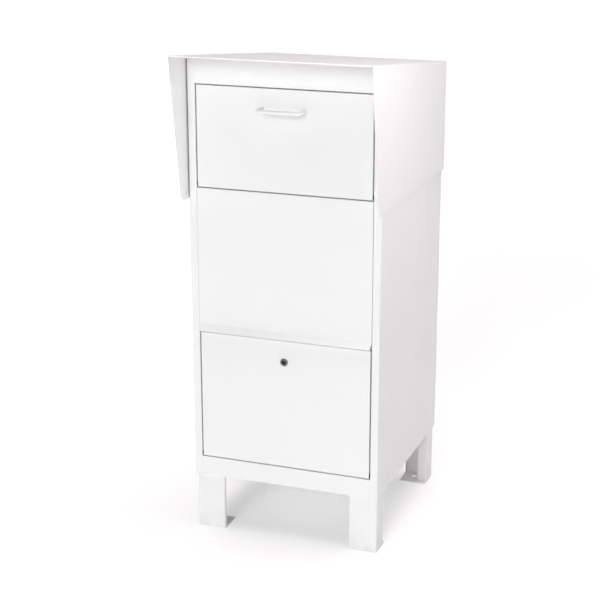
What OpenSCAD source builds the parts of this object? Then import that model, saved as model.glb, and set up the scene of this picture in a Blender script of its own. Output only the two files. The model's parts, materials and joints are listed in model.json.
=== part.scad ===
// Free-standing parcel drop box: a hooded sheet-steel cabinet on four formed legs, with a tilting
// deposit hopper at the top and a bottom-hinged collection door with a cam lock below it.
// Frame: +Z up, front towards -Y, origin on the floor at the centre of the four anchor holes.

/* [Cabinet] */
// Width across the side panels
body_w = 530; // [500:5:560]
// Depth from the front face to the back face
body_d = 580; // [560:5:640]
// Height of the cabinet's lower edge above the floor
leg_h = 162; // [150:1:170]
// Thickness of the cabinet's sheet steel
sheet = 1.5; // [1.2:0.1:1.6]

/* [Hood] */
// Height of the hood's front edge, the highest point of the box
hood_top_z = 1335; // [1325:1:1350]
// Fall of the roof towards the back, in degrees
hood_slope = 6.5; // [5:0.5:7]
// Reach of the hood in front of the cabinet, at the roof
hood_reach = 103; // [80:1:120]
// Reach of the hood's side wings in front of the cabinet, at their lower edge
wing_reach = 43; // [30:1:60]
// Height of the wings' lower edge above the floor
wing_z = 948; // [930:1:960]
// Gap between a wing and the side panel
hood_gap = 3; // [2:0.5:4]
// Depth of the lip turned down along the roof's front edge
hood_lip = 4; // [4:1:8]

/* [Front] */
// Width of the plain strip at each side of the doors
stile_w = 21.25; // [20:0.25:24]
// Gap around each door
door_gap = 3; // [3:0.25:3.5]
// Height of the sill under the collection door
access_sill_z = 216; // [214:1:218]
// Height of the collection door's top edge
access_top_z = 579.5; // [577:0.5:581]
// Height of the sill under the hopper door
hopper_sill_z = 977.5; // [975:0.5:980]
// Height of the head above the hopper door
hopper_head_z = 1251.5; // [1249:0.5:1253]
// Height of the drip lip's front edge
drip_z = 587; // [585:0.5:589]
// Reach of the drip lip in front of the cabinet
drip_reach = 17; // [14:1:20]
// Slope of the drip lip, in degrees
drip_slope = 42; // [36:1:45]

/* [Hopper] */
// Furthest tilt of the hopper door, in degrees
hopper_open = 55; // [50:1:55]
// Slope of the chute with the hopper shut, in degrees
chute_slope = 35; // [32:1:38]
// Distance from the pivot to the chute's tip
chute_reach = 250; // [240:1:250]
// Radius of the hopper's side cheeks
cheek_r = 248; // [240:1:248]

/* [Handle] */
// Distance between the handle's two feet
handle_span = 114; // [96:1:160]
// Reach of the handle in front of the hopper door
handle_reach = 46; // [38:1:48]
// Thickness of the handle's bar
handle_d = 10; // [9:0.5:12]
// Height of the handle above the floor
handle_z = 1196; // [1180:1:1210]

/* [Lock] */
// Height of the lock above the floor
lock_z = 520; // [515:1:522]
// Diameter of the lock's head
lock_head_d = 22; // [21:0.5:24]
// Length of the cam from the lock's axis
cam_reach = 32; // [29:1:36]

/* [Legs] */
// Width of a leg's front web
leg_w = 80; // [76:1:90]
// Depth of a leg's side flange
leg_d = 58; // [54:1:60]
// Depth of a leg's foot plate
foot_d = 75; // [70:1:80]
// Diameter of the anchor hole in a foot plate
anchor_d = 18; // [14:1:20]

/* [Hidden] */

coat = "whitesmoke";
zinc = "silver";
nickel = "darkgray";
dark_nickel = "gray";
nylon = "dimgray";
rubber = "black";

round_fn = 64;          // facets of a turned piece
arc_fn = 180;           // facets of a wide arc
bend_steps = 6;         // facets of a bend in sheet metal
bend_in = 1;            // inner radius of a bend in the cabinet's sheet
bend_out = bend_in + sheet;
slide = 0.05;           // clearance of a turning or bolted fit, on the radius
cut = 1;                // how far a cutter runs past the face that it cuts

front = -body_d / 2;
back = body_d / 2;
side_in = body_w / 2 - sheet;           // inner face of a side panel
opening = body_w / 2 - stile_w;         // half the width between the stiles
return_d = 18;                          // depth of the flanges turned in around the openings
door_d = return_d;                      // depth of the doors' flanges
door_w = 2 * (opening - door_gap);
stop_y = front + return_d + sheet;      // front face of the lips that the doors shut against

hood_in = body_w / 2 + hood_gap;
hood_out = hood_in + sheet;
hood_front = front - hood_reach;
hood_back = back + 6.5;                 // rear edge of the roof and the wings
roof_gap = 0.5;                         // air gap between the roof and the top panel
function roof_z(y) = hood_top_z - (y - hood_front) * tan(hood_slope);
function body_top(y) = roof_z(y) - (sheet + roof_gap) / cos(hood_slope);

pivot_y = front + 8;                    // door pivots, behind the front face
pivot_rise = 10;                        // door pivots, above their sills
hopper_pivot_z = hopper_sill_z + pivot_rise;
access_pivot_z = access_sill_z + pivot_rise;
hopper_door_h = hopper_head_z - hopper_sill_z - 2 * door_gap;
access_door_h = access_top_z - access_sill_z - door_gap;

// Outline of bent sheet

function unit(v) = v / norm(v);
function left_of(d) = [-d.y, d.x];
function turn_at(a, b, c) =
    let (u = unit(b - a), v = unit(c - b)) atan2(u.x * v.y - u.y * v.x, u * v);
// Points along a bend at corner b, offset to the left of the sheet's middle line
function bend_arc(a, b, c, offset, r) =
    let (
        u = unit(b - a),
        turn = turn_at(a, b, c),
        s = sign(turn),
        hub = b - u * r * tan(abs(turn) / 2) + left_of(u) * s * r,
        from = atan2(-left_of(u).y * s, -left_of(u).x * s)
    )
    [for (k = [0:bend_steps])
        hub + (r - s * offset) * [cos(from + turn * k / bend_steps),
                                  sin(from + turn * k / bend_steps)]];
function sheet_edge(path, offset, r) =
    let (last = len(path) - 1)
    [
        path[0] + left_of(unit(path[1] - path[0])) * offset,
        for (i = [1:1:last - 1]) each bend_arc(path[i - 1], path[i], path[i + 1], offset, r),
        path[last] + left_of(unit(path[last] - path[last - 1])) * offset
    ];
function reversed(list) = [for (i = [len(list) - 1:-1:0]) list[i]];

// Section of a sheet bent along path, its middle line
module bent_sheet(path, t = sheet, r_in = bend_in) {
    r = r_in + t / 2;
    polygon([each sheet_edge(path, t / 2, r), each reversed(sheet_edge(path, -t / 2, r))]);
}

// Extrude a section drawn in Y and Z along X
module along_x(x0, x1) {
    translate([x0, 0, 0]) rotate([90, 0, 90]) linear_extrude(x1 - x0) children();
}

// Extrude a section drawn in X and Z along Y
module along_y(y0, y1) {
    translate([0, y1, 0]) rotate([90, 0, 0]) linear_extrude(y1 - y0) children();
}

module along_z(z0, z1) {
    translate([0, 0, z0]) linear_extrude(z1 - z0) children();
}

module rod_x(x0, x1, y, z, r) {
    translate([x0, y, z]) rotate([0, 90, 0]) cylinder(h = x1 - x0, r = r, $fn = round_fn);
}

module rod_y(y0, y1, x, z, r) {
    translate([x, y0, z]) rotate([-90, 0, 0]) cylinder(h = y1 - y0, r = r, $fn = round_fn);
}

module rod_z(z0, z1, x, y, r) {
    translate([x, y, z0]) cylinder(h = z1 - z0, r = r, $fn = round_fn);
}

// Hexagonal prism across flats af, with a bore, along +Z
module hex_nut(af, h, bore_r) {
    difference() {
        cylinder(h = h, d = af / cos(30), $fn = 6);
        translate([0, 0, -cut]) cylinder(h = h + 2 * cut, r = bore_r, $fn = round_fn);
    }
}

// The same shape at both sides of the box
module both_sides() {
    children();
    mirror([1, 0, 0]) children();
}

// Rectangle w wide and d deep with its two front corners rounded, front edge on Y = 0
function rounded_front(w, d, r) =
    [
        [-w / 2, d],
        for (k = [0:bend_steps]) [r - w / 2 - r * cos(90 * k / bend_steps),
                                  r - r * sin(90 * k / bend_steps)],
        for (k = [bend_steps:-1:0]) [w / 2 - r + r * cos(90 * k / bend_steps),
                                     r - r * sin(90 * k / bend_steps)],
        [w / 2, d]
    ];

module rounded_block(w, h, d, r) {
    intersection() {
        linear_extrude(h) polygon(rounded_front(w, d, r));
        along_x(-w / 2, w / 2)
            polygon([for (p = rounded_front(h, d, r)) [p.y, p.x + h / 2]]);
    }
}

// Sheet folded back along all four edges: face at Y = 0, lower edge at Z = 0, open towards +Y
module tray(w, h, d) {
    difference() {
        rounded_block(w, h, d, bend_out);
        translate([0, sheet, sheet]) rounded_block(w - 2 * sheet, h - 2 * sheet, d, bend_in);
    }
}

// Cabinet shell

module under_body_top() {
    intersection() {
        children();
        along_x(-body_w, body_w)
            polygon([
                [front - cut, 0],
                [back + cut, 0],
                [back + cut, body_top(back + cut)],
                [front - cut, body_top(front - cut)]
            ]);
    }
}

rear_flange = 22;       // width of a side panel's rear flange

// Section of the right side panel; the stile is turned in beside the openings only
module side_section(returned) {
    x = body_w / 2 - sheet / 2;
    y0 = front + sheet / 2;
    y1 = back - sheet / 2;
    stile = returned
        ? [[opening + sheet / 2, front + return_d], [opening + sheet / 2, y0]]
        : [[opening, y0]];
    bent_sheet([each stile, [x, y0], [x, y1], [body_w / 2 - rear_flange, y1]]);
}

hood_stud_r = 3;
stud_play = 0.3;        // clearance of the side panels' holes around the studs
hood_stud_y = [-200, 200];
hood_stud_z = [1010, 1180];
pivot_thread_r = 2.5;

module side_panel() {
    difference() {
        under_body_top() {
            along_z(leg_h, access_sill_z) side_section(false);
            along_z(access_sill_z, hopper_head_z) side_section(true);
            along_z(hopper_head_z, hood_top_z) side_section(false);
        }
        for (y = hood_stud_y, z = hood_stud_z)
            rod_x(side_in - cut, body_w / 2 + cut, y, z, hood_stud_r + stud_play);
        for (z = [hopper_pivot_z, access_pivot_z])
            rod_x(opening - cut, opening + sheet + cut, pivot_y, z, pivot_thread_r + 2 * slide);
    }
}

module right_side_panel() {
    color(coat) side_panel();
}

module left_side_panel() {
    color(coat) mirror([1, 0, 0]) side_panel();
}

back_clear = 3;         // side clearance of the back panel, past the side panels' bends

module back_panel() {
    y = back - 2 * sheet;
    color(coat)
        translate([-body_w / 2 + back_clear, y, leg_h])
            cube([body_w - 2 * back_clear, sheet, body_top(back) - leg_h]);
}

pan_front = front + 8;
pan_top = access_sill_z - sheet;
leg_sheet = 2;
leg_in = 9.5;           // inset of a leg's web from the cabinet's front or back face
leg_x = side_in - sheet;
leg_bolt_r = 4;
leg_bolt_play = 0.5;    // clearance of the holes around the leg bolts
leg_bolt_u = [25, 55];  // leg bolts, from the leg's outer side
leg_bolt_v = 30;        // leg bolts, from the leg's web

// Both bolts of every leg, as [x, y]
leg_bolt_spots = [
    for (sx = [-1, 1], sy = [-1, 1], u = leg_bolt_u)
        [sx * (leg_x - u), sy * (body_d / 2 - leg_in - leg_bolt_v)]
];

module floor_pan() {
    depth = back - 2 * sheet - pan_front;
    color(coat)
        difference() {
            translate([0, pan_front, pan_top])
                rotate([-90, 0, 0])
                    tray(2 * side_in, depth, pan_top - leg_h);
            for (p = leg_bolt_spots)
                rod_z(pan_top - sheet - cut, pan_top + cut, p.x, p.y, leg_bolt_r + leg_bolt_play);
        }
}

top_flange = 18;        // depth of the top panel's side flanges

module top_panel() {
    x = side_in - sheet / 2;
    top = -(sheet + roof_gap);
    color(coat)
        intersection() {
            translate([0, hood_front, hood_top_z])
                rotate([-hood_slope, 0, 0])
                    along_y(0, body_d + 2 * hood_reach)
                        translate([0, top])
                            bent_sheet([
                                [-x, -top_flange],
                                [-x, -sheet / 2],
                                [x, -sheet / 2],
                                [x, -top_flange]
                            ]);
            translate([-body_w, front + bend_out, wing_z])
                cube([2 * body_w, body_d - bend_out - 2 * sheet, body_d]);
        }
}

stop_lip = 11.5;        // drop of the lip behind the hopper door's top flange

module top_rail() {
    y = front + sheet / 2;
    z = hopper_head_z + sheet / 2;
    lip_y = stop_y + sheet / 2;
    color(coat)
        under_body_top()
            along_x(-opening, opening)
                bent_sheet([
                    [lip_y, hopper_head_z - stop_lip],
                    [lip_y, z],
                    [y, z],
                    [y, hood_top_z]
                ]);
}

module bottom_rail() {
    y = front + sheet / 2;
    color(coat)
        along_x(-opening, opening)
            bent_sheet([
                [pan_front, leg_h + sheet / 2],
                [y, leg_h + sheet / 2],
                [y, access_sill_z - sheet / 2],
                [front + return_d, access_sill_z - sheet / 2]
            ]);
}

seam = 0.4;             // gap at each side of the middle panel
drip_root_z = drip_z + drip_reach * tan(drip_slope);

module middle_front_panel() {
    y = front + sheet / 2;
    color(coat)
        along_x(seam - opening, opening - seam)
            bent_sheet([
                [front + return_d, hopper_sill_z - sheet / 2],
                [y, hopper_sill_z - sheet / 2],
                [y, drip_root_z],
                [front - drip_reach, drip_z]
            ]);
}

channel_half_w = opening - 4;
channel_web_z = drip_root_z + 13;       // where the channel steps back behind the doors' line
channel_tab = 25;       // height of the tab that joins the channel to the middle panel
channel_leg_z = 562;    // lower edge of the channel beside the tongue
tongue_half_w = 45;
tongue_z = 536;         // lower edge of the tongue, which the cam turns behind

module strike_channel() {
    upper_y = front + 1.5 * sheet;
    lower_y = stop_y + sheet / 2;
    color(coat) {
        along_x(-channel_half_w, channel_half_w)
            bent_sheet([
                [upper_y, channel_web_z + channel_tab],
                [upper_y, channel_web_z],
                [lower_y, channel_web_z],
                [lower_y, channel_leg_z]
            ]);
        translate([-tongue_half_w, stop_y, tongue_z])
            cube([2 * tongue_half_w, sheet, channel_leg_z - tongue_z]);
    }
}

// Hood

wing_corner = 12;       // chamfer at a wing's lower front corner
roof_start = 6;         // length of roof formed with the lip
lip_tuck = 15;          // angle that the lip is bent back past square, in degrees

module wing_outline() {
    polygon([
        [hood_front, hood_top_z + cut],
        [front - wing_reach, wing_z + wing_corner],
        [front - wing_reach + wing_corner, wing_z],
        [hood_back, wing_z],
        [hood_back, hood_top_z + cut]
    ]);
}

module weather_hood() {
    x = hood_out - sheet / 2;
    lip_x = hood_out - bend_out;
    length = hood_back - hood_front + hood_reach;
    color(coat) {
        intersection() {
            translate([0, hood_front, hood_top_z])
                rotate([-hood_slope, 0, 0])
                    difference() {
                        along_y(0, length)
                            bent_sheet([
                                [-x, -length],
                                [-x, -sheet / 2],
                                [x, -sheet / 2],
                                [x, -length]
                            ]);
                        translate([-lip_x, -cut, -2 * sheet])
                            cube([2 * lip_x, roof_start + cut, 3 * sheet]);
                    }
            along_x(-body_w, body_w) wing_outline();
        }
        translate([0, hood_front, hood_top_z])
            rotate([-hood_slope, 0, 0])
                along_x(-lip_x, lip_x)
                    bent_sheet([
                        [roof_start, -sheet / 2],
                        [sheet / 2, -sheet / 2],
                        [sheet / 2 + hood_lip * tan(lip_tuck), -hood_lip]
                    ]);
    }
}

hood_stud_l = 15;
hood_nut_af = 10;
hood_nut_h = 5;
hood_spacer_r = 9;

module hood_studs() {
    color(zinc)
        both_sides()
            for (y = hood_stud_y, z = hood_stud_z)
                rod_x(hood_in - hood_stud_l, hood_in, y, z, hood_stud_r);
}

module hood_spacers() {
    color(nylon)
        both_sides()
            for (y = hood_stud_y, z = hood_stud_z)
                difference() {
                    rod_x(body_w / 2, hood_in, y, z, hood_spacer_r);
                    rod_x(body_w / 2 - cut, hood_in + cut, y, z, hood_stud_r + 2 * slide);
                }
}

module hood_nuts() {
    color(zinc)
        both_sides()
            for (y = hood_stud_y, z = hood_stud_z)
                translate([side_in - hood_nut_h, y, z])
                    rotate([0, 90, 0])
                        hex_nut(hood_nut_af, hood_nut_h, hood_stud_r + slide);
}

baffle_y = pivot_y + 225;
baffle_z = hopper_pivot_z + 135;        // lower edge of the baffle
baffle_flange = 22;
baffle_half_w = opening - 9.5;          // clear of the hopper's stop studs on both sides

module anti_fishing_baffle() {
    drop = (1.5 * sheet + slide) / cos(hood_slope);
    color(coat)
        along_x(-baffle_half_w, baffle_half_w)
            bent_sheet([
                [baffle_y - baffle_flange, body_top(baffle_y - baffle_flange) - drop],
                [baffle_y, body_top(baffle_y) - drop],
                [baffle_y, baffle_z]
            ]);
}

// Legs

leg_bend = 2;
leg_corner = leg_bend + leg_sheet;      // room that a leg's bend takes
leg_lip = 28;
leg_return = 10;
leg_flange = 50;                        // depth of the flange under the floor pan
leg_side_drop = bend_in + 0.5;          // the leg's sides stop clear of the bends under the pan
anchor_x = 217;
anchor_y = 250;
anchor_u = leg_x - anchor_x;
anchor_v = body_d / 2 - leg_in - anchor_y;

// A leg in its own frame: X inwards from the outer side, Y from the web towards the middle
module leg() {
    h = leg_sheet / 2;
    top = pan_top - sheet;
    color(coat)
        difference() {
            union() {
                along_x(leg_corner, leg_w - leg_corner)
                    bent_sheet([[foot_d, h], [h, h], [h, top - h], [leg_flange, top - h]],
                               leg_sheet, leg_bend);
                along_z(leg_sheet, top - leg_side_drop)
                    bent_sheet([[leg_corner, h], [h, h], [h, leg_d - h], [leg_lip, leg_d - h]],
                               leg_sheet, leg_bend);
                along_z(leg_sheet, top - leg_side_drop)
                    bent_sheet([[leg_w - leg_corner, h], [leg_w - h, h], [leg_w - h, leg_return]],
                               leg_sheet, leg_bend);
                for (u = [0, leg_w - leg_corner])
                    translate([u, leg_corner, 0])
                        cube([leg_corner, foot_d - leg_corner, leg_sheet]);
            }
            rod_z(-cut, leg_sheet + cut, anchor_u, anchor_v, anchor_d / 2);
            for (u = leg_bolt_u)
                rod_z(top - leg_sheet - cut, top + cut, u, leg_bolt_v, leg_bolt_r + leg_bolt_play);
        }
}

module place_leg(sx, sy) {
    mirror([sx > 0 ? 1 : 0, 0, 0])
        mirror([0, sy > 0 ? 1 : 0, 0])
            translate([-leg_x, leg_in - body_d / 2, 0])
                leg();
}

module leg_front_left() {
    place_leg(-1, -1);
}

module leg_front_right() {
    place_leg(1, -1);
}

module leg_rear_left() {
    place_leg(-1, 1);
}

module leg_rear_right() {
    place_leg(1, 1);
}

leg_bolt_head_r = 9;
leg_bolt_head_h = 4;
leg_nut_af = 13;
leg_nut_h = 6.5;
leg_bolt_tail = 3;      // length of a leg bolt past its nut

// Low domed head with its flat side on Z = 0
module domed_head(r, h) {
    ball_r = (r * r + h * h) / (2 * h);
    intersection() {
        translate([0, 0, h - ball_r]) sphere(r = ball_r, $fn = round_fn);
        cylinder(h = h + cut, r = r + cut, $fn = round_fn);
    }
}

module leg_bolts() {
    color(zinc)
        for (p = leg_bolt_spots) {
            translate([p.x, p.y, pan_top]) domed_head(leg_bolt_head_r, leg_bolt_head_h);
            rod_z(pan_top - sheet - leg_sheet - leg_nut_h - leg_bolt_tail, pan_top, p.x, p.y, leg_bolt_r);
        }
}

module leg_nuts() {
    color(zinc)
        for (p = leg_bolt_spots)
            translate([p.x, p.y, pan_top - sheet - leg_sheet - leg_nut_h])
                hex_nut(leg_nut_af, leg_nut_h, leg_bolt_r + slide);
}

// Pivots, which both doors share

pivot_r = 3;
bush_r = 4.2;
bush_hole_r = bush_r + slide;
bush_flange_r = 6.8;
bush_flange = door_gap - 0.5;
bush_end = 0.5;         // how far a bush stands out inside the door
cheek_out = door_w / 2 - sheet;         // outer face of a cheek, against the door's flange
cheek_in = cheek_out - sheet;
pivot_head_r = 5;
pivot_head_h = 3.5;
pivot_head_x = cheek_in - 1;
pivot_nut_af = 8;
pivot_nut_h = 4;
pivot_tail = 2;         // length of a pivot bolt past its nut

module pivot_bolts() {
    color(zinc)
        both_sides()
            for (z = [hopper_pivot_z, access_pivot_z]) {
                rod_x(pivot_head_x - pivot_head_h, pivot_head_x, pivot_y, z, pivot_head_r);
                rod_x(pivot_head_x, opening, pivot_y, z, pivot_r);
                rod_x(opening, opening + sheet + pivot_nut_h + pivot_tail, pivot_y, z, pivot_thread_r);
            }
}

module pivot_nuts() {
    color(zinc)
        both_sides()
            for (z = [hopper_pivot_z, access_pivot_z])
                translate([opening + sheet, pivot_y, z])
                    rotate([0, 90, 0])
                        hex_nut(pivot_nut_af, pivot_nut_h, pivot_thread_r + slide);
}

// Flanged bushes at both ends of a door, reaching inwards to x0
module pivot_bushes(x0, z) {
    color(nylon)
        both_sides()
            difference() {
                union() {
                    rod_x(x0, door_w / 2, pivot_y, z, bush_r);
                    rod_x(door_w / 2, door_w / 2 + bush_flange, pivot_y, z, bush_flange_r);
                }
                rod_x(x0 - cut, opening, pivot_y, z, pivot_r + slide);
            }
}

module pivot_holes(z) {
    both_sides() rod_x(door_w / 2 - sheet - cut, door_w / 2 + cut, pivot_y, z, bush_hole_r);
}

bumper_x = 190;
bumper_r = 5;
bumper_t = sheet - 0.2; // the doors' flanges stop just short of the bumpers

module door_bumpers() {
    color(rubber)
        for (x = [-bumper_x, bumper_x], z = [hopper_head_z - bumper_r - 1, access_top_z - bumper_r])
            rod_y(stop_y - bumper_t, stop_y, x, z, bumper_r);
}

// Hopper

screw_r = 2.4;
screw_play = 0.3;       // clearance of the door's holes around the handle screws

module hopper_door() {
    color(coat)
        difference() {
            translate([0, front, hopper_sill_z + door_gap]) tray(door_w, hopper_door_h, door_d);
            pivot_holes(hopper_pivot_z);
            both_sides()
                rod_y(front - cut, front + sheet + cut, handle_span / 2, handle_z, screw_r + screw_play);
            rivet_holes();
        }
}

module hopper_pivot_bushes() {
    pivot_bushes(cheek_in - bush_end, hopper_pivot_z);
}

handle_bend = 13;       // bend radius of the handle's bar, at its middle line
screw_depth = 12;       // depth of the screws' holes in the handle
screw_head_r = 4.5;
screw_head_h = 2.6;

module pull_handle() {
    r = handle_d / 2;
    grip_y = front - handle_reach + r;
    x = handle_span / 2;
    color(coat)
        difference() {
            union() {
                both_sides() {
                    rod_y(grip_y + handle_bend, front, x, handle_z, r);
                    translate([x - handle_bend, grip_y + handle_bend, handle_z])
                        rotate([0, 0, -90])
                            rotate_extrude(angle = 90, $fn = round_fn)
                                translate([handle_bend, 0])
                                    circle(r = r, $fn = round_fn);
                }
                rod_x(handle_bend - x, x - handle_bend, grip_y, handle_z, r);
            }
            both_sides() rod_y(front - screw_depth, front + cut, x, handle_z, screw_r + 2 * slide);
        }
}

module handle_screws() {
    color(zinc)
        both_sides() {
            translate([handle_span / 2, front + sheet, handle_z])
                rotate([-90, 0, 0])
                    domed_head(screw_head_r, screw_head_h);
            rod_y(front - screw_depth + screw_play, front + sheet, handle_span / 2, handle_z, screw_r);
        }
}

chute_lift = 7.5;       // height of the chute's middle line over the pivot
chute_lip = 12;
chute_flange = 12;
chute_flange_from = 32; // the side flanges start clear of the pivots
chute_flange_stop = 10; // and end short of the tip
chute_tab = 25;         // height of the tab that joins the chute to the door

// Point a along the chute from the pivot and b above that line, as [y, z] from the pivot
function on_chute(a, b) =
    [a * cos(chute_slope) + b * sin(chute_slope), b * cos(chute_slope) - a * sin(chute_slope)];

module chute_plate() {
    flange_y = front + 1.5 * sheet - pivot_y;
    meet_z = chute_lift / cos(chute_slope) - flange_y * tan(chute_slope);
    tip = chute_reach - sheet / 2;
    half_w = cheek_in;
    color(coat)
        translate([0, pivot_y, hopper_pivot_z]) {
            along_x(-half_w, half_w)
                bent_sheet([
                    [flange_y, meet_z + chute_tab],
                    [flange_y, meet_z],
                    on_chute(tip, chute_lift),
                    on_chute(tip, chute_lift - chute_lip)
                ]);
            rotate([-chute_slope, 0, 0])
                both_sides()
                    translate([half_w - sheet, chute_flange_from, chute_lift - chute_flange])
                        cube([sheet, chute_reach - chute_flange_from - chute_flange_stop, chute_flange]);
        }
}

cheek_drop = 7;         // the cheek's lower edge, below the line from the pivot along the chute
cheek_clear = bend_in + 0.2;            // room for the bends inside the door
cheek_step = front + return_d + 0.6 - pivot_y;  // the cheek hangs below the sill behind this
stop_r = 5;
stop_shank_r = 3;
stop_head_r = 6;
stop_head_h = 3;
stop_tail = 7;          // reach of the stop stud behind the stile
stop_clear = 0.2;       // gap left at the stop, taken up by the coat
stop_at = 232;          // distance of the stop stud from the pivot
// Direction of the stop stud with the hopper shut: it meets the stile's flange at full tilt
stop_dir = acos((front + return_d - pivot_y + stop_r + stop_clear) / stop_at) - hopper_open;
rivet_r = 2;
rivet_head_r = 3.8;
rivet_head_h = 1.3;
rivet_y = front + 13;
rivet_first = 40;       // height of the first rivet above the pivot
rivet_step = 60;
rivet_z = [for (k = [0:3]) hopper_pivot_z + rivet_first + rivet_step * k];

module stop_spot() {
    translate([0, pivot_y, hopper_pivot_z])
        rotate([stop_dir, 0, 0])
            translate([0, stop_at, 0])
                children();
}

module rivet_holes() {
    both_sides()
        for (z = rivet_z)
            rod_x(cheek_in - cut, door_w / 2 + cut, rivet_y, z, rivet_r + slide);
}

// Height of the cheek's lower edge at y behind the pivot, from the pivot
function cheek_edge(y) = -(cheek_drop + y * sin(chute_slope)) / cos(chute_slope);

module hopper_cheek() {
    face = front + sheet + cheek_clear - pivot_y;
    foot = door_gap + sheet + cheek_clear - pivot_rise;
    far = 2 * cheek_r;
    difference() {
        translate([0, pivot_y, hopper_pivot_z])
            along_x(cheek_in, cheek_out)
                intersection() {
                    circle(r = cheek_r, $fn = arc_fn);
                    polygon([
                        [face, foot],
                        [cheek_step, foot],
                        [cheek_step, cheek_edge(cheek_step)],
                        [far, cheek_edge(far)],
                        [far, far],
                        [face, far]
                    ]);
                }
        rod_x(cheek_in - cut, cheek_out + cut, pivot_y, hopper_pivot_z, bush_hole_r);
        rivet_holes();
        stop_spot() rod_x(cheek_in - cut, cheek_out + cut, 0, 0, stop_shank_r + slide);
    }
}

module right_hopper_cheek() {
    color(coat) hopper_cheek();
}

module left_hopper_cheek() {
    color(coat) mirror([1, 0, 0]) hopper_cheek();
}

module cheek_rivets() {
    color(zinc)
        both_sides()
            for (z = rivet_z) {
                rod_x(cheek_in, door_w / 2, rivet_y, z, rivet_r);
                translate([door_w / 2, rivet_y, z])
                    rotate([0, 90, 0])
                        domed_head(rivet_head_r, rivet_head_h);
                translate([cheek_in, rivet_y, z])
                    rotate([0, -90, 0])
                        domed_head(rivet_head_r, rivet_head_h);
            }
}

module hopper_stop_studs() {
    color(zinc)
        both_sides()
            stop_spot() {
                rod_x(cheek_in - stop_head_h, cheek_in, 0, 0, stop_head_r);
                rod_x(cheek_in, cheek_out, 0, 0, stop_shank_r);
                rod_x(cheek_out, opening + stop_tail, 0, 0, stop_r);
            }
}

// Collection door and lock

barrel_r = 9.2;
barrel_play = 0.15;     // clearance of the door's hole around the lock
barrel_end = front + 18.5;
plug_r = 6.8;
plug_inset = 0.5;       // the plug's face, behind the head's
cam_y = front + 21.5;
cam_t = 2;
cam_half = 8;
cam_screw_r = 2;
cam_screw_depth = 4.5;
cam_head_r = 5.5;
cam_head_h = 2.4;
head_proud = 3;
head_bevel = 1.2;
lock_nut_af = 24;
lock_nut_h = 5;

module access_door() {
    color(coat)
        difference() {
            translate([0, front, access_sill_z + door_gap]) tray(door_w, access_door_h, door_d);
            pivot_holes(access_pivot_z);
            rod_y(front - cut, front + sheet + cut, 0, lock_z, barrel_r + barrel_play);
        }
}

module access_pivot_bushes() {
    pivot_bushes(door_w / 2 - sheet - bush_end, access_pivot_z);
}

module lock_body() {
    head_r = lock_head_d / 2;
    color(nickel)
        difference() {
            union() {
                translate([0, front, lock_z])
                    rotate([90, 0, 0])
                        rotate_extrude($fn = round_fn)
                            polygon([
                                [0, 0],
                                [head_r, 0],
                                [head_r, head_proud - head_bevel],
                                [head_r - head_bevel, head_proud],
                                [0, head_proud]
                            ]);
                rod_y(front, barrel_end, 0, lock_z, barrel_r);
            }
            rod_y(front - head_proud - cut, barrel_end + cut, 0, lock_z, plug_r + slide);
        }
}

module lock_nut() {
    color(zinc)
        translate([0, front + sheet, lock_z])
            rotate([-90, 0, 0])
                hex_nut(lock_nut_af, lock_nut_h, barrel_r + 2 * slide);
}

key_slot = [2.2, 9];    // width and height of the keyhole
key_depth = 16;
tail_half = 3.5;

module lock_plug() {
    face = front - head_proud + plug_inset;
    color(dark_nickel)
        difference() {
            union() {
                rod_y(face, cam_y, 0, lock_z, plug_r);
                translate([-tail_half, cam_y, lock_z - tail_half])
                    cube([2 * tail_half, cam_t, 2 * tail_half]);
            }
            translate([-key_slot.y / 2, face - cut, lock_z - key_slot.x / 2])
                cube([key_slot.y, key_depth + cut, key_slot.x]);
            rod_y(cam_y - cam_screw_depth - slide, cam_y + cam_t + cut, 0, lock_z, cam_screw_r + slide);
        }
}

// Cam turned sideways, towards +X, which is unlocked
module lock_cam() {
    color(zinc)
        difference() {
            along_y(cam_y, cam_y + cam_t)
                translate([0, lock_z]) {
                    circle(r = cam_half, $fn = round_fn);
                    translate([0, -cam_half]) square([cam_reach, 2 * cam_half]);
                }
            translate([-tail_half - slide, cam_y - cut, lock_z - tail_half - slide])
                cube([2 * (tail_half + slide), cam_t + 2 * cut, 2 * (tail_half + slide)]);
        }
}

module cam_screw() {
    color(zinc) {
        translate([0, cam_y + cam_t, lock_z]) rotate([-90, 0, 0]) domed_head(cam_head_r, cam_head_h);
        rod_y(cam_y - cam_screw_depth, cam_y + cam_t, 0, lock_z, cam_screw_r);
    }
}

left_side_panel();
right_side_panel();
back_panel();
floor_pan();
top_panel();
top_rail();
bottom_rail();
middle_front_panel();
strike_channel();
weather_hood();
hood_studs();
hood_spacers();
hood_nuts();
anti_fishing_baffle();
leg_front_left();
leg_front_right();
leg_rear_left();
leg_rear_right();
leg_bolts();
leg_nuts();
pivot_bolts();
pivot_nuts();
door_bumpers();
hopper_door();
hopper_pivot_bushes();
pull_handle();
handle_screws();
chute_plate();
left_hopper_cheek();
right_hopper_cheek();
cheek_rivets();
hopper_stop_studs();
access_door();
access_pivot_bushes();
lock_body();
lock_nut();
lock_plug();
lock_cam();
cam_screw();
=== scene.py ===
"""Looks of the parcel drop box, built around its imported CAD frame. Metres, +Z up, front towards -Y."""

import json
import math

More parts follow.
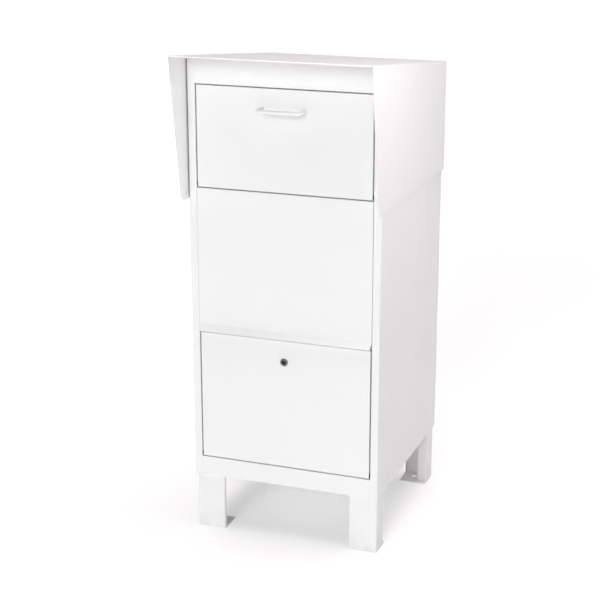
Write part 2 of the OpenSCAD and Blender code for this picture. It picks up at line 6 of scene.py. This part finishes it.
import bmesh
import bpy
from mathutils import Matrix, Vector

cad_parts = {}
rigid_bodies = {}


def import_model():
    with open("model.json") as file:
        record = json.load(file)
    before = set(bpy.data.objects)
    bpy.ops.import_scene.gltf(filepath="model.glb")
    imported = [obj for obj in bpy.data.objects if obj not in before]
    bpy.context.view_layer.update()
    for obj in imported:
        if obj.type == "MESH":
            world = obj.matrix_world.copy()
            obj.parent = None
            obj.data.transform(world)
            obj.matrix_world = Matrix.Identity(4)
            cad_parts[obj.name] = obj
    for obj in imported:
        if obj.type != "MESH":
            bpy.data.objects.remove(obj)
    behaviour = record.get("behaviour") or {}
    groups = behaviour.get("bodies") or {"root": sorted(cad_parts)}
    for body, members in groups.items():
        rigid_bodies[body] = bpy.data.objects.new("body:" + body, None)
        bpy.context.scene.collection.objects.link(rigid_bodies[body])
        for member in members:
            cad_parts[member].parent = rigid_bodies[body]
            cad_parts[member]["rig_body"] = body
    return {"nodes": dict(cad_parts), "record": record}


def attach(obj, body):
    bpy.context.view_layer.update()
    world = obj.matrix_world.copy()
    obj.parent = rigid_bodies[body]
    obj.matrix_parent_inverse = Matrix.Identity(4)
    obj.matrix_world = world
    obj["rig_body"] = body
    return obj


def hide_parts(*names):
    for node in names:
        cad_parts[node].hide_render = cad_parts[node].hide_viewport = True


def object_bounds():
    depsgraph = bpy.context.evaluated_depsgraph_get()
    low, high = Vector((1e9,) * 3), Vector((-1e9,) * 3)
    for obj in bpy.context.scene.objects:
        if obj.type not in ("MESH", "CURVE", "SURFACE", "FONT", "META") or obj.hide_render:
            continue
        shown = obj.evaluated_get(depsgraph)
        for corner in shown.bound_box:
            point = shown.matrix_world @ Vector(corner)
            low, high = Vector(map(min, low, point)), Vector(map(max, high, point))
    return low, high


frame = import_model()
cad_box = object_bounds()

MM = 0.001


# Materials

def new_material(name):
    """A node material with only its Principled shader; returns it, its node tree and the shader."""
    material = bpy.data.materials.new(name)
    material.use_nodes = True
    tree = material.node_tree
    return material, tree, tree.nodes["Principled BSDF"]


def object_noise(tree, scale, detail, roughness=0.5, stretch=(1, 1, 1)):
    """Noise in the object's own metres: scale is how many features fit in a metre."""
    coords = tree.nodes.new("ShaderNodeTexCoord")
    mapping = tree.nodes.new("ShaderNodeMapping")
    mapping.inputs["Scale"].default_value = stretch
    noise = tree.nodes.new("ShaderNodeTexNoise")
    noise.inputs["Scale"].default_value = scale
    noise.inputs["Detail"].default_value = detail
    noise.inputs["Roughness"].default_value = roughness
    tree.links.new(coords.outputs["Object"], mapping.inputs["Vector"])
    tree.links.new(mapping.outputs["Vector"], noise.inputs["Vector"])
    return noise.outputs["Fac"]


def spread(tree, value, low, high, start=0.3, end=0.7):
    """Turn a range, start to end, into low to high. The default is the middle of a noise's range."""
    remap = tree.nodes.new("ShaderNodeMapRange")
    remap.inputs["From Min"].default_value = start
    remap.inputs["From Max"].default_value = end
    remap.inputs["To Min"].default_value = low
    remap.inputs["To Max"].default_value = high
    tree.links.new(value, remap.inputs["Value"])
    return remap.outputs["Result"]


def blend_colours(tree, factor, first, second):
    """Mix two colours, each a triple or another node's colour."""
    mix = tree.nodes.new("ShaderNodeMix")
    mix.data_type = "RGBA"
    for socket, colour in ((mix.inputs["A"], first), (mix.inputs["B"], second)):
        if isinstance(colour, tuple):
            socket.default_value = (*colour, 1)
        else:
            tree.links.new(colour, socket)
    tree.links.new(factor, mix.inputs["Factor"])
    return mix.outputs["Result"]


def multiply(tree, first, second):
    """The product of two nodes' values."""
    product = tree.nodes.new("ShaderNodeMath")
    product.operation = "MULTIPLY"
    for socket, value in zip(product.inputs, (first, second)):
        tree.links.new(value, socket)
    return product.outputs["Value"]


EDGE_SAMPLES = 6
EDGE_TURN = (0.80, 0.99)        # cosines of the normal's turn: a full edge, and a flat face


def edge_mask(tree, width):
    """0 on flat faces, rising to 1 along edges, within a width in metres."""
    rounded = tree.nodes.new("ShaderNodeBevel")
    rounded.samples = EDGE_SAMPLES
    rounded.inputs["Radius"].default_value = width
    geometry = tree.nodes.new("ShaderNodeNewGeometry")
    agreement = tree.nodes.new("ShaderNodeVectorMath")
    agreement.operation = "DOT_PRODUCT"
    tree.links.new(rounded.outputs["Normal"], agreement.inputs[0])
    tree.links.new(geometry.outputs["Normal"], agreement.inputs[1])
    return spread(tree, agreement.outputs["Value"], 1, 0, *EDGE_TURN)


def floor_mask(tree, height):
    """1 at the floor, fading to 0 at a height in metres."""
    coords = tree.nodes.new("ShaderNodeTexCoord")
    split = tree.nodes.new("ShaderNodeSeparateXYZ")
    tree.links.new(coords.outputs["Object"], split.inputs["Vector"])
    return spread(tree, split.outputs["Z"], 1, 0, 0, height)


def add_bumps(tree, shader, *bumps):
    """Stack bumps, each (height, strength, depth in metres), into the shader's normal."""
    normal = None
    for height, strength, depth in bumps:
        bump = tree.nodes.new("ShaderNodeBump")
        bump.inputs["Strength"].default_value = strength
        bump.inputs["Distance"].default_value = depth
        tree.links.new(height, bump.inputs["Height"])
        if normal:
            tree.links.new(normal, bump.inputs["Normal"])
        normal = bump.outputs["Normal"]
    tree.links.new(normal, shader.inputs["Normal"])


WHITE = (0.835, 0.832, 0.828)
WARM_WHITE = (0.862, 0.860, 0.857)
THIN_COAT = (0.66, 0.66, 0.66)
FLOOR_DUST = (0.58, 0.56, 0.53)
RUBBED_WIDTH = 1.6 * MM
SCUFF_HEIGHT = 60 * MM


def powder_coat():
    """Satin white powder coat: orange peel, a slow wave in the sheet, rubbed edges, scuffed feet."""
    material, tree, shader = new_material("white_powder_coat")
    tone = spread(tree, object_noise(tree, 2.5, detail=3), 0, 1)
    colour = blend_colours(tree, tone, WHITE, WARM_WHITE)
    patches = spread(tree, object_noise(tree, 45, detail=4), 0.15, 0.75)
    rubbed = multiply(tree, edge_mask(tree, RUBBED_WIDTH), patches)
    colour = blend_colours(tree, rubbed, colour, THIN_COAT)
    specks = spread(tree, object_noise(tree, 38, detail=5), 0, 0.3, 0.35, 0.75)
    scuffed = multiply(tree, floor_mask(tree, SCUFF_HEIGHT), specks)
    colour = blend_colours(tree, scuffed, colour, FLOOR_DUST)
    tree.links.new(colour, shader.inputs["Base Color"])
    gloss = spread(tree, object_noise(tree, 14, detail=5, roughness=0.65), 0.38, 0.48)
    tree.links.new(gloss, shader.inputs["Roughness"])
    orange_peel = object_noise(tree, 420, detail=1.5)
    grain = object_noise(tree, 2600, detail=1)
    sheet_wave = object_noise(tree, 3.2, detail=1)
    add_bumps(tree, shader,
              (sheet_wave, 0.25, 1.2 * MM),
              (orange_peel, 0.22, 0.09 * MM),
              (grain, 0.12, 0.02 * MM))
    shader.inputs["Coat Weight"].default_value = 0.15
    shader.inputs["Coat Roughness"].default_value = 0.22
    return material


def small_part_finish(name, metallic, mottle, colours, wear_width, smears, gloss, grain, bump):
    """A mottled finish with worn edges, smears in its gloss and a fine grain.

    mottle, smears and grain are noises: scale, detail and what else object_noise takes.
    """
    material, tree, shader = new_material(name)
    if metallic:
        shader.inputs["Metallic"].default_value = 1.0
    dark, light, worn = colours
    colour = blend_colours(tree, spread(tree, object_noise(tree, *mottle), 0, 1), dark, light)
    colour = blend_colours(tree, edge_mask(tree, wear_width), colour, worn)
    tree.links.new(colour, shader.inputs["Base Color"])
    tree.links.new(spread(tree, object_noise(tree, *smears), *gloss), shader.inputs["Roughness"])
    add_bumps(tree, shader, (object_noise(tree, *grain), *bump))
    return material


LATHE_STRETCH = (1, 6, 1)       # turning marks run round the lock's axis


def turned_nickel(name, colours):
    """Nickel-plated lock parts, turned on a lathe and lightly handled."""
    return small_part_finish(
        name, metallic=True, mottle=(220, 4, 0.6), colours=colours, wear_width=0.4 * MM,
        smears=(700, 3), gloss=(0.16, 0.32), grain=(2400, 2, 0.5, LATHE_STRETCH), bump=(0.15, 0.02 * MM))


FINISHES = {
    "white_powder_coat": powder_coat(),
    "zinc_plate": small_part_finish(
        "zinc_plate", metallic=True, mottle=(160, 4, 0.7),
        colours=((0.52, 0.53, 0.54), (0.70, 0.70, 0.68), (0.82, 0.82, 0.81)), wear_width=0.5 * MM,
        smears=(900, 3), gloss=(0.26, 0.44), grain=(1800, 2), bump=(0.2, 0.03 * MM)),
    # painted reflection: these nickel base colours are far darker than real nickel, painting in the dark
    # reflections of the lock's nickel parts
    "nickel_plate": turned_nickel(
        "nickel_plate", ((0.15, 0.15, 0.147), (0.34, 0.34, 0.333), (0.58, 0.58, 0.57))),
    # painted shade and reflection: dark_nickel is the same nickel made nearly black, painting the shade of
    # the lock's recessed plug and its dark reflections
    "dark_nickel": turned_nickel(
        "dark_nickel", ((0.02, 0.02, 0.02), (0.06, 0.06, 0.058), (0.20, 0.20, 0.20))),
    "black_nylon": small_part_finish(
        "black_nylon", metallic=False, mottle=(90, 3),
        colours=((0.012, 0.012, 0.013), (0.026, 0.026, 0.027), (0.07, 0.07, 0.07)), wear_width=0.4 * MM,
        smears=(300, 2), gloss=(0.42, 0.55), grain=(1500, 2), bump=(0.15, 0.03 * MM)),
    "black_rubber": small_part_finish(
        "black_rubber", metallic=False, mottle=(240, 4, 0.7),
        colours=((0.018, 0.018, 0.019), (0.045, 0.044, 0.043), (0.09, 0.09, 0.088)), wear_width=0.5 * MM,
        smears=(700, 3), gloss=(0.62, 0.82), grain=(1900, 3), bump=(0.3, 0.05 * MM)),
}
SLOTS = {part["node"]: part["material_slot"] for part in frame["record"]["subparts"]}


def dress(piece, slot):
    """Give a piece the finish of one of the record's material slots as its only material."""
    piece.data.materials.clear()
    piece.data.materials.append(FINISHES[slot])


# Sheet metal with eased edges

SHEET_EASE = 0.35 * MM
EASE_SEGMENTS = 2
EDGE_ANGLE = math.radians(30)   # a sharper turn than this is an edge to ease
FLAT_ANGLE = math.radians(0.4)  # faces that turn by less than this are one face
WELD_DISTANCE = 1e-6
FACE_AREA_WEIGHT = 100


def welded_copy(node):
    """The CAD node's mesh, its vertices welded and its flat faces whole again."""
    bm = bmesh.new()
    bm.from_mesh(frame["nodes"][node].data)
    bmesh.ops.remove_doubles(bm, verts=bm.verts, dist=WELD_DISTANCE)
    bmesh.ops.dissolve_limit(bm, angle_limit=FLAT_ANGLE, verts=bm.verts, edges=bm.edges)
    bmesh.ops.recalc_face_normals(bm, faces=bm.faces)
    mesh = bpy.data.meshes.new(node + "_shape")
    bm.to_mesh(mesh)
    bm.free()
    return mesh


def bake_modifiers(piece):
    graph = bpy.context.evaluated_depsgraph_get()
    baked = bpy.data.meshes.new_from_object(piece.evaluated_get(graph))
    piece.modifiers.clear()
    piece.data = baked


def ease_edges(node):
    """Stand in for a CAD node with the same shape, its sharp edges broken by a small radius."""
    mesh = welded_copy(node)
    piece = bpy.data.objects.new(node + "_shape", mesh)
    bpy.context.scene.collection.objects.link(piece)
    mesh.shade_smooth()
    bevel = piece.modifiers.new("ease", "BEVEL")
    bevel.width = SHEET_EASE
    bevel.segments = EASE_SEGMENTS
    bevel.limit_method = "ANGLE"
    bevel.angle_limit = EDGE_ANGLE
    bevel.use_clamp_overlap = True
    weighted = piece.modifiers.new("normals", "WEIGHTED_NORMAL")
    weighted.weight = FACE_AREA_WEIGHT
    bake_modifiers(piece)
    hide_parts(node)
    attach(piece, frame["nodes"][node]["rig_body"])
    dress(piece, SLOTS[node])


SHEET_NODES = [
    "left_side_panel", "right_side_panel", "back_panel", "floor_pan", "top_panel", "top_rail",
    "bottom_rail", "middle_front_panel", "strike_channel", "weather_hood", "anti_fishing_baffle",
    "leg_front_left", "leg_front_right", "leg_rear_left", "leg_rear_right",
    "hopper_door", "chute_plate", "left_hopper_cheek", "right_hopper_cheek", "access_door",
]

for node, cad in frame["nodes"].items():
    dress(cad, SLOTS[node])
for node in SHEET_NODES:
    ease_edges(node)


# Studio

PINK_TINT = (1.0, 0.94, 0.96)
COOL_TINT = (0.95, 1.0, 1.0)
WHITE_LIGHT = (1, 1, 1)
FLOOR_SIZE = 160
FLOOR_TONES = ((0.68, 0.68, 0.68), (0.70, 0.70, 0.70))
FLOOR_GLOW = 0.33
DOME_RADIUS = 40
SKY_STRENGTH = 0.09


def add_light(name, light, to_light, colour):
    """Turn a light to shine from the direction to_light."""
    light.color = colour
    holder = bpy.data.objects.new(name, light)
    holder.rotation_mode = "QUATERNION"
    holder.rotation_quaternion = Vector(to_light).to_track_quat("Z", "Y")
    bpy.context.scene.collection.objects.link(holder)
    return holder


def soft_sun(name, irradiance, spread_deg, to_light, colour):
    """A sun as wide as spread_deg, so that its shadows have soft edges."""
    sun = bpy.data.lights.new(name, "SUN")
    sun.energy = irradiance
    sun.angle = math.radians(spread_deg)
    add_light(name, sun, to_light, colour)


def softbox(name, watts, size, spread_deg, location, target, colour):
    """A rectangular light at a location, facing a target."""
    box = bpy.data.lights.new(name, "AREA")
    box.energy = watts
    box.shape = "RECTANGLE"
    box.size, box.size_y = size
    box.spread = math.radians(spread_deg)
    holder = add_light(name, box, Vector(location) - Vector(target), colour)
    holder.location = location
    return holder


def backdrop():
    """A white dome that only the camera sees, so that it lights nothing and shades nothing."""
    bpy.ops.mesh.primitive_uv_sphere_add(segments=64, ring_count=32, radius=DOME_RADIUS, location=(0, 0, 0))
    dome = bpy.context.object
    dome.name = "studio_dome"
    dome.data.shade_smooth()
    material, tree, shader = new_material("studio_dome")
    cloud = spread(tree, object_noise(tree, 0.02, detail=1), 1.0, 1.02)
    glow = tree.nodes.new("ShaderNodeEmission")
    tree.links.new(cloud, glow.inputs["Strength"])
    output = tree.nodes["Material Output"]
    tree.links.new(glow.outputs["Emission"], output.inputs["Surface"])
    tree.nodes.remove(shader)
    dome.data.materials.append(material)
    dome.visible_diffuse = False
    dome.visible_glossy = False
    dome.visible_shadow = False


def pale_floor():
    """A wide pale floor that glows a little, which keeps its shadows light."""
    bpy.ops.mesh.primitive_plane_add(size=FLOOR_SIZE, location=(0, 0, cad_box[0].z))
    floor = bpy.context.object
    floor.name = "studio_floor"
    material, tree, shader = new_material("studio_floor")
    tone = spread(tree, object_noise(tree, 0.8, detail=2), 0, 1)
    colour = blend_colours(tree, tone, *FLOOR_TONES)
    tree.links.new(colour, shader.inputs["Base Color"])
    shader.inputs["Roughness"].default_value = 0.9
    shader.inputs["Specular IOR Level"].default_value = 0.1
    shader.inputs["Emission Color"].default_value = (*WHITE_LIGHT, 1)
    shader.inputs["Emission Strength"].default_value = FLOOR_GLOW
    floor.data.materials.append(material)


def lights():
    """A faint sky, broad suns from the front, above and behind, and a softbox for each wing."""
    world = bpy.data.worlds.new("studio_sky")
    world.use_nodes = True
    sky = world.node_tree.nodes["Background"]
    sky.inputs["Color"].default_value = (*PINK_TINT, 1)
    sky.inputs["Strength"].default_value = SKY_STRENGTH
    bpy.context.scene.world = world

    soft_sun("front_sun", irradiance=1.43, spread_deg=24, to_light=(-0.02, -0.94, 0.32), colour=COOL_TINT)
    soft_sun("top_sun", irradiance=1.2, spread_deg=40, to_light=(-0.05, -0.12, 0.99), colour=PINK_TINT)
    soft_sun("back_sun", irradiance=1.55, spread_deg=60, to_light=(0.10, 0.30, 0.95), colour=PINK_TINT)
    softbox("wing_softbox", watts=3.4, size=(0.5, 0.5), spread_deg=180,
            location=(0.85, -0.38, 1.62), target=(0.27, -0.18, 1.15), colour=PINK_TINT)
    # lights the inside of the left wing from just inside the right one
    fill = softbox("hood_fill", watts=0.027, size=(0.08, 0.40), spread_deg=20,
                   location=(0.255, -0.35, 1.11), target=(-0.27, -0.35, 1.11), colour=WHITE_LIGHT)
    fill.visible_camera = False
    fill.visible_glossy = False


def camera():
    """A long lens, to the right of the box and a little above its top, looking down at its middle."""
    lens = bpy.data.cameras.new("view")
    lens.sensor_width = 36
    lens.lens = 88.55
    view = bpy.data.objects.new("view", lens)
    view.location = (1.3431, -3.8057, 1.8429)
    look_at = Vector((-0.0496, 0.0, 0.5936))
    view.rotation_mode = "QUATERNION"
    view.rotation_quaternion = (look_at - view.location).to_track_quat("-Z", "Y")
    bpy.context.scene.collection.objects.link(view)
    bpy.context.scene.camera = view


backdrop()
pale_floor()
lights()
bpy.context.scene.view_settings.view_transform = "Standard"
camera()
